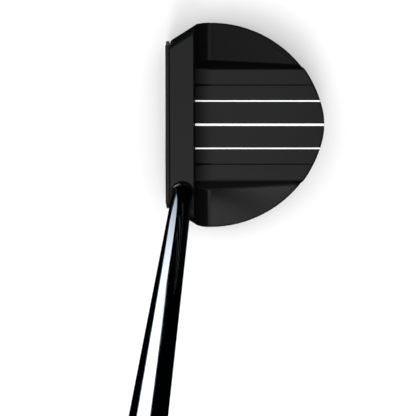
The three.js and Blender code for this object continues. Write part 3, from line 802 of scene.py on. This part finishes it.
def make_sole_plate():
    plate = prism("sole", sole_outline(0), "xy", 0, SOLE_PLATE_THICKNESS)
    soften(plate, even_width(SOLE_PLATE_EDGE), segments=3)
    head, shank = SCREW_HEAD_RADIUS + SEAT_GAP, SCREW_RADIUS + SEAT_GAP
    for x, y in SCREW_PLACES:
        seat = turned("seat", [
            (0, -OVER), (head, -OVER), (head, SUNK + SEAT_GAP),
            (shank, SUNK + SCREW_HEAD_HEIGHT + SEAT_GAP), (shank, SOLE_HOLE_TOP), (0, SOLE_HOLE_TOP)], 48)
        seat.data.transform(Matrix.Translation((x, y, 0)))
        cut(plate, seat)
    for side in (-1, 1):
        cut(plate, round_cutter(side * WEIGHT_X, WEIGHT_Y, WEIGHT_RADIUS + SEAT_GAP, SOLE_HOLE_TOP, 64))
    soften(tidy(plate), even_width(SOLE_HOLE_EDGE, sharper_than=40), segments=2)
    finish_piece(plate, "sole_plate_fine", ["sole_plate"], MATERIALS["sole"])


def star_socket(depth, outer=1.25, inner=0.9, points=6, steps=48):
    """The cutter of a lobed driver socket."""
    swing, mean = (outer - inner) / 2, (outer + inner) / 2
    outline = []
    for k in range(steps):
        angle = 2 * math.pi * k / steps
        radius = mean + swing * math.cos(points * angle)
        outline.append((radius * math.cos(angle), radius * math.sin(angle)))
    return prism("socket", outline, "xy", -OVER, depth)


def make_screws():
    edge, tip = SCREW_HEAD_EDGE, SCREW_TIP_EDGE
    for i, (x, y) in enumerate(SCREW_PLACES):
        screw = turned("screw", [
            (0, SUNK), (SCREW_HEAD_RADIUS - edge, SUNK), (SCREW_HEAD_RADIUS, SUNK + edge),
            (SCREW_RADIUS, SUNK + SCREW_HEAD_HEIGHT), (SCREW_RADIUS, SCREW_LENGTH - tip),
            (SCREW_RADIUS - tip, SCREW_LENGTH), (0, SCREW_LENGTH)], 48)
        cut(screw, star_socket(SUNK + SOCKET_DEPTH))
        turn = Matrix.Rotation(math.radians(SCREW_TURN * i), 4, "Z")
        screw.data.transform(Matrix.Translation((x, y, 0)) @ turn)
        node = f"sole_screw_{i + 1}"
        finish_piece(screw, node + "_fine", [node], MATERIALS["screw"])


def make_weights():
    """The two round weights, each with a groove near its rim and two holes for a pin wrench."""
    rim, edge = WEIGHT_RADIUS, WEIGHT_EDGE
    groove = [(rim - inset, SUNK + depth) for inset, depth in WEIGHT_GROOVE]
    for name, side in (("sole_weight_toe", -1), ("sole_weight_heel", 1)):
        weight = turned("weight", [
            (0, SUNK), *groove, (rim - edge, SUNK), (rim, SUNK + edge),
            (rim, WEIGHT_HEIGHT - edge), (rim - edge, WEIGHT_HEIGHT), (0, WEIGHT_HEIGHT)])
        for hole_x in (-PIN_HOLE_OFFSET, PIN_HOLE_OFFSET):
            cut(weight, round_cutter(hole_x, 0, PIN_HOLE_RADIUS, SUNK + PIN_HOLE_DEPTH, steps=32))
        turn = Matrix.Rotation(math.radians(side * WEIGHT_TURN), 4, "Z")
        weight.data.transform(Matrix.Translation((side * WEIGHT_X, WEIGHT_Y, 0)) @ turn)
        finish_piece(weight, name + "_fine", [name], MATERIALS["weight"])


# ---------------------------------------------------------------- shaft


def shaft_radius(along):
    """The shaft's outer radius, growing evenly from the topline to the butt."""
    return TIP_RADIUS + (BUTT_RADIUS - TIP_RADIUS) * max(along, 0) / CLUB_ABOVE_TOPLINE


def make_shaft():
    """A tapered tube, its tip slightly chamfered."""
    stations = [CLUB_ABOVE_TOPLINE * k / SHAFT_STATIONS for k in range(SHAFT_STATIONS + 1)]
    stations.insert(0, -SHAFT_DEPTH + SHAFT_TIP_EDGE)
    outer = [(TIP_RADIUS - SHAFT_TIP_EDGE, -SHAFT_DEPTH)] + [(shaft_radius(s), s) for s in stations]
    inner = [(shaft_radius(s) - SHAFT_WALL, s) for s in reversed(stations)]
    inner.append((TIP_RADIUS - SHAFT_WALL, -SHAFT_DEPTH))
    tube = onto_shaft(turned("shaft", outer + inner))
    finish_piece(tube, "shaft_fine", ["shaft"], MATERIALS["shaft"], weighted=False)


def make_plug():
    """A cork inside the shaft's tip, which keeps the adhesive out."""
    radius = TIP_RADIUS - SHAFT_WALL - PLUG_GAP
    low = -SHAFT_DEPTH + PLUG_INSET
    high = low + PLUG_LENGTH
    narrowing, taper = PLUG_TIP
    plug = turned("plug", [
        (0, low), (radius - narrowing, low), (radius, low + taper), (radius, high), (0, high)])
    finish_piece(onto_shaft(plug), "tip_plug_fine", ["tip_plug"], MATERIALS["plug"])


def make_ferrule():
    """A ring with a rounded top, its lower third sunk into the bar."""
    inner = shaft_radius(FERRULE_STAND) + FERRULE_GAP
    lip = inner + FERRULE_LIP
    low = FERRULE_STAND - FERRULE_ROUND
    crown = [(lip + (FERRULE_RADIUS - lip) * math.cos(t), low + FERRULE_ROUND * math.sin(t))
             for t in (math.pi * k / 8 for k in range(1, 5))]
    ring = turned("ferrule", [
        (inner, -FERRULE_DEPTH), (FERRULE_RADIUS, -FERRULE_DEPTH), (FERRULE_RADIUS, low),
        *crown, (inner, FERRULE_STAND)])
    finish_piece(onto_shaft(ring), "ferrule_fine", ["ferrule"], MATERIALS["ferrule"])


def sleeve(name, start, end, gap, thickness):
    """A thin layer round the shaft, its outer edges chamfered by two fifths of its thickness."""
    a, b = shaft_radius(start) + gap, shaft_radius(end) + gap
    edge = thickness * 0.4
    return turned(name, [(a, start), (a + thickness - edge, start), (a + thickness, start + edge),
                         (b + thickness, end - edge), (b + thickness - edge, end), (b, end)])


def make_band():
    band = sleeve("band", BAND_END - BAND_LENGTH, BAND_END, gap=0.04, thickness=0.16)
    finish_piece(onto_shaft(band), "shaft_band_fine", ["shaft_band"], MATERIALS["band"])


def make_tape():
    tape = onto_shaft(sleeve("tape", TAPE_START, CLUB_ABOVE_TOPLINE, gap=0.05, thickness=0.25))
    finish_piece(tape, "grip_tape_fine", ["grip_tape"], MATERIALS["tape"])


# ---------------------------------------------------------------- grip


def smooth(value, low, high):
    """0 below low, 1 above high and an even ease between them."""
    t = min(max((value - low) / (high - low), 0), 1)
    return t * t * (3 - 2 * t)


def grip_point(turn, share):
    """(x, y) of the grip's skin at a turn round the shaft and a share of its length."""
    swell = smooth(share, 0, 1)
    half, flat = (mouth + (butt - mouth) * swell for mouth, butt in (GRIP_HALF, GRIP_FLAT))
    fading = 1 - BELLY_LOSS * smooth(share, BELLY_FULL, 1)
    belly = BELLY * smooth(share, BELLY_START, BELLY_FULL) * fading
    x, y = math.cos(turn), math.sin(turn)
    if x > 0:
        return x * (half + belly), y * half
    # the side away from the player is flattened, for the thumbs
    pressed = min(-x * half / flat, FLAT_REACH) / FLAT_REACH
    return -flat * (1 - (1 - pressed) ** FLAT_POWER), y * half


def grip_relief(turn, along):
    """How far the moulded pattern sinks the skin: a diamond texture on the sides, rings at the mouth."""
    if along < RINGED_LENGTH:
        return RING_DEPTH * (math.sin(along * RING_RATE) > 0.2)
    fade_in = smooth(along, 12, 16)
    fade_out = 1 - smooth(along, GRIP_LENGTH - 14, GRIP_LENGTH - 9)
    on_side = smooth(abs(math.sin(turn)), 0.35, 0.5)
    zone = on_side * (fade_in * fade_out)
    across, down = turn * DIAMONDS_AROUND, along * DIAMOND_RATE
    diamond = math.cos(across + down) * math.cos(across - down)
    return DIAMOND_DEPTH * zone * smooth(diamond, 0.1, 0.45)


def grip_round_end(along):
    """How far the rounded ends of the grip draw the skin in."""
    mouth, mouth_length = GRIP_MOUTH_ROUND
    butt, butt_length = GRIP_BUTT_ROUND
    drawn_in = mouth * (1 - smooth(along, 0, mouth_length))
    return drawn_in + butt * smooth(along, GRIP_LENGTH - butt_length, GRIP_LENGTH)


def make_grip(around=208, rings=420):
    """A closed skin of rings, with the bore of the shaft inside."""
    bm = bmesh.new()
    skin = []
    for j in range(rings + 1):
        along = GRIP_LENGTH * j / rings
        round_end = grip_round_end(along)
        ring = []
        for k in range(around):
            turn = 2 * math.pi * k / around
            x, y = grip_point(turn, along / GRIP_LENGTH)
            radius = math.hypot(x, y)
            shrink = (radius - grip_relief(turn, along) - round_end) / radius
            ring.append(bm.verts.new((x * shrink, y * shrink, GRIP_START + along)))
        skin.append(ring)
    bore = []
    for end in (CLUB_ABOVE_TOPLINE, GRIP_START):
        radius = shaft_radius(end) + GRIP_BORE_GAP
        angles = [2 * math.pi * k / around for k in range(around)]
        bore.append([bm.verts.new((radius * math.cos(t), radius * math.sin(t), end)) for t in angles])
    rows = skin + bore
    for low, high in zip(rows, rows[1:] + rows[:1]):
        for k in range(around):
            m = (k + 1) % around
            bm.faces.new((low[k], low[m], high[m], high[k]))
    grip = onto_shaft(solid("grip", bm))
    finish_piece(grip, "grip_sleeve_fine", ["grip_sleeve"], MATERIALS["grip"],
                 sharp_angle=60, weighted=False)


def make_cap():
    """A domed cap with a fine ring round its vent hole and a stem inside the shaft's butt."""
    base = CLUB_ABOVE_TOPLINE + CAP_GAP
    top = base + CAP_HEIGHT
    stem, foot = BUTT_RADIUS - SHAFT_WALL - CAP_STEM_GAP, base - CAP_STEM_LENGTH
    wall, rise, turns = 1.0, 2.0, (0, 0.25, 0.5, 0.8, 1.05)
    dome = [(CAP_RADIUS * math.cos(t) ** 0.6, base + wall + rise * math.sin(t)) for t in turns]
    ring = [(radius, top - drop) for radius, drop in ((4.6, 0.15), (4.3, 0.5), (3.9, 0.5), (3.6, 0.1))]
    cap = turned("cap", [(VENT_RADIUS, foot), (stem, foot), (stem, base), (CAP_RIM_RADIUS, base),
                         *dome, *ring, (VENT_RADIUS, top - 0.1)])
    finish_piece(onto_shaft(cap), "grip_cap_fine", ["grip_cap"], MATERIALS["cap"])


# ---------------------------------------------------------------- stage

# metres, strengths of light and directions to it
FLOOR_RADIUS = 12.0
OVERHEAD = 0.56
DARK = (0.0005, 0.002, 0.005)
SOFT_LIGHT = 1.1
SKY_LEAN = -0.2
LAMP_DIRECTION = (0.84, -0.03, 0.54)
LAMP_REACH = math.radians(22)
LAMP_CORE = math.radians(8)
LAMP_STRENGTH = 5.5

# millimetres on the floor, and metres for its glow
CARD_OUTLINE = [(4, -40), (-80, -38), (-227, 47), (-420, 150), (-320, -560), (-85, -201), (12, -64)]
CARD_HEIGHT = (0.2, 0.4)
CARD_DIM_PLACE = (0.004, -0.04, 0)
CARD_DIM_REACH = (0.005, 0.08)
CARD_GLOW = (5.0, 17.0)
FLAGS = {
    "flag_front": ((-130, -42), (-38.5, -38), (0.5, 27)),
    "flag_side": ((-62, -61.5), (-26, 70), (0.5, 19.5)),
}


class Graph:
    """Short ways to add nodes to the emptied node tree of a world or a material."""

    def __init__(self, owner):
        owner.use_nodes = True
        self.nodes = owner.node_tree.nodes
        self.links = owner.node_tree.links
        self.nodes.clear()

    def feed(self, socket, value):
        """Links a socket to another one, or sets it to a plain value."""
        if isinstance(value, bpy.types.NodeSocket):
            self.links.new(value, socket)
        else:
            socket.default_value = value

    def calculate(self, operation, a, b):
        node = self.nodes.new("ShaderNodeMath")
        node.operation = operation
        self.feed(node.inputs[0], a)
        self.feed(node.inputs[1], b)
        return node.outputs["Value"]

    def product(self, *values):
        total = values[0]
        for value in values[1:]:
            total = self.calculate("MULTIPLY", total, value)
        return total

    def measure(self, operation, vector, fixed):
        """DOT_PRODUCT or DISTANCE of a vector socket and a fixed vector."""
        node = self.nodes.new("ShaderNodeVectorMath")
        node.operation = operation
        self.feed(node.inputs[0], vector)
        self.feed(node.inputs[1], fixed)
        return node.outputs["Value"]

    def ramp(self, value, start, end, low=0.0, high=1.0, interpolation="SMOOTHSTEP"):
        """low where the value is before start, high where it is past end."""
        node = self.nodes.new("ShaderNodeMapRange")
        node.interpolation_type = interpolation
        if start > end:
            start, end, low, high = end, start, high, low
        self.feed(node.inputs["From Min"], start)
        self.feed(node.inputs["From Max"], end)
        self.feed(node.inputs["To Min"], low)
        self.feed(node.inputs["To Max"], high)
        self.feed(node.inputs["Value"], value)
        return node.outputs["Result"]

    def background(self, colour):
        node = self.nodes.new("ShaderNodeBackground")
        self.feed(node.inputs["Color"], colour)
        return node.outputs["Background"]

    def choose(self, share, if_not, if_so):
        node = self.nodes.new("ShaderNodeMixShader")
        self.feed(node.inputs["Fac"], share)
        self.feed(node.inputs[1], if_not)
        self.feed(node.inputs[2], if_so)
        return node.outputs["Shader"]

    def output(self, kind, shader):
        node = self.nodes.new(kind)
        self.feed(node.inputs["Surface"], shader)


def make_floor():
    bm = bmesh.new()
    bmesh.ops.create_circle(bm, cap_ends=True, segments=96, radius=FLOOR_RADIUS)
    floor = solid("floor", bm)
    shader = Shader("floor_paper", (0.86, 0.86, 0.86), 0.9, Specular_IOR_Level=0)
    shader.vary_roughness(shader.noise(20, detail=2), 0.86, 0.95)
    floor.data.materials.append(shader.material)
    floor.visible_glossy = False


def overhead_box(graph, x, y, z):
    """A soft box overhead, as seen along a unit vector."""
    # brighter to the heel and darker to the toe, the more so towards the front
    lean = graph.product(1.2, x, graph.ramp(y, -0.04, -0.28))
    lean = graph.calculate("MAXIMUM", graph.calculate("ADD", lean, 1.0), 0.2)
    toe_dim = graph.ramp(x, -0.32, -0.18, 0.55, 1.0)
    # a brighter band above the heel, which dims again further out
    heel_glow = graph.product(graph.ramp(x, 0.1, 0.2, 1.0, 2.0), graph.ramp(x, 0.25, 0.32, 1.0, 0.35))
    # its soft edges: behind, in front, at the toe, at the heel and low down
    edges = graph.product(
        graph.ramp(y, 0.25, 0.145), graph.ramp(y, -0.62, -0.42),
        graph.ramp(x, -0.56, -0.46), graph.ramp(x, 0.52, 0.4), graph.ramp(z, 0.4, 0.6))
    return graph.product(OVERHEAD, edges, toe_dim, heel_glow, lean)


def low_panels(graph, x, y, z):
    """Panels just above the floor, in front of the head and on the heel side."""
    front = graph.ramp(y, -0.4, -0.8, 0.01, 0.5)
    heel = graph.ramp(x, 0.7, 0.9, 0.0, 0.2)
    around = graph.calculate("ADD", front, heel)
    return graph.product(graph.ramp(z, 0.0, 0.08), graph.ramp(z, 0.45, 0.3), around)


def studio(graph, direction):
    """What glossy surfaces see: a dark, slightly blue room with the box and the panels in it."""
    axes = graph.nodes.new("ShaderNodeSeparateXYZ")
    graph.feed(axes.inputs["Vector"], direction)
    glow = graph.calculate("ADD", overhead_box(graph, *axes.outputs), low_panels(graph, *axes.outputs))
    colour = graph.nodes.new("ShaderNodeCombineColor")
    for channel, dark in zip(colour.inputs, DARK):
        graph.feed(channel, graph.calculate("ADD", glow, dark))
    return colour.outputs["Color"]


def soft_light(graph, direction):
    """What matt surfaces get: a large lamp on the heel side, and more sky from the front than behind."""
    lamp = graph.measure("DOT_PRODUCT", direction, Vector(LAMP_DIRECTION).normalized())
    lamp = graph.ramp(lamp, math.cos(LAMP_REACH), math.cos(LAMP_CORE), 0.0, LAMP_STRENGTH)
    y = graph.measure("DOT_PRODUCT", direction, (0, 1, 0))
    sky = graph.calculate("ADD", graph.calculate("MULTIPLY", y, SKY_LEAN), 1.0)
    return graph.calculate("MULTIPLY", graph.calculate("ADD", sky, lamp), SOFT_LIGHT)


def make_world():
    """White to the camera, soft light to what is matt and a dark studio to what reflects."""
    world = bpy.data.worlds.new("studio")
    graph = Graph(world)
    direction = graph.nodes.new("ShaderNodeTexCoord").outputs["Generated"]
    ray = graph.nodes.new("ShaderNodeLightPath").outputs
    matt = graph.background(soft_light(graph, direction))
    glossy = graph.background(studio(graph, direction))
    white = graph.background((1, 1, 1, 1))
    shader = graph.choose(ray["Is Glossy Ray"], matt, glossy)
    graph.output("ShaderNodeOutputWorld", graph.choose(ray["Is Camera Ray"], shader, white))
    bpy.context.scene.world = world


def only_in_reflections(obj):
    """Scales a stage piece to metres and hides it from everything but glossy rays."""
    obj.data.transform(Matrix.Scale(MM, 4))
    obj.visible_camera = False
    obj.visible_diffuse = False
    obj.visible_shadow = False
    obj.visible_transmission = False


def make_card():
    """A white card on the floor in front of the toe, dim near the head, seen only in reflections."""
    card = prism("card", CARD_OUTLINE, "xy", *CARD_HEIGHT)
    material = bpy.data.materials.new("card_glow")
    graph = Graph(material)
    place = graph.nodes.new("ShaderNodeTexCoord").outputs["Object"]
    away = graph.measure("DISTANCE", place, CARD_DIM_PLACE)
    glow = graph.nodes.new("ShaderNodeEmission")
    graph.feed(glow.inputs["Strength"], graph.ramp(away, *CARD_DIM_REACH, *CARD_GLOW, "LINEAR"))
    graph.output("ShaderNodeOutputMaterial", glow.outputs["Emission"])
    material.cycles.emission_sampling = "NONE"
    card.data.materials.append(material)
    only_in_reflections(card)


def make_flags():
    """Black flags beside the toe, which keep the card's light off the bar's end and the deck's edge."""
    material = Shader("flag_black", (0, 0, 0), 1.0, Specular_IOR_Level=0).material
    for name, spans in FLAGS.items():
        flag = box(name, *spans)
        flag.data.materials.append(material)
        only_in_reflections(flag)


# metres, except the tilt and what belongs to the lens
CAMERA_HEIGHT = 0.313  # above the topline
CAMERA_OVER = (0.01112, FACE_Y * MM + 0.02867)
CAMERA_TILT = math.radians(3.0)
LENS = 58.24
LENS_SHIFT = (-0.0457, -0.0583)


def make_camera():
    """Straight above the head but for a small tilt, with the toe at the top of the picture."""
    data = bpy.data.cameras.new("camera")
    data.sensor_width = 36
    data.lens = LENS
    data.shift_x, data.shift_y = LENS_SHIFT
    data.clip_start = 0.01
    data.clip_end = 50
    camera = bpy.data.objects.new("camera", data)
    bpy.context.scene.collection.objects.link(camera)
    sine, cosine = math.sin(CAMERA_TILT), math.cos(CAMERA_TILT)
    right, up, back = Vector((0, 1, 0)), Vector((-cosine, 0, -sine)), Vector((-sine, 0, cosine))
    place = Vector((*CAMERA_OVER, TOPLINE_Z * MM + CAMERA_HEIGHT))
    rows = [[right[i], up[i], back[i], place[i]] for i in range(3)]
    camera.matrix_world = Matrix(rows + [[0, 0, 0, 1]])
    bpy.context.scene.camera = camera


make_head()
make_face()
make_sole_plate()
make_screws()
make_weights()
make_shaft()
make_plug()
make_ferrule()
make_band()
make_tape()
make_grip()
make_cap()
make_floor()
make_world()
make_card()
make_flags()
make_camera()
bpy.context.scene.view_settings.view_transform = "Standard"
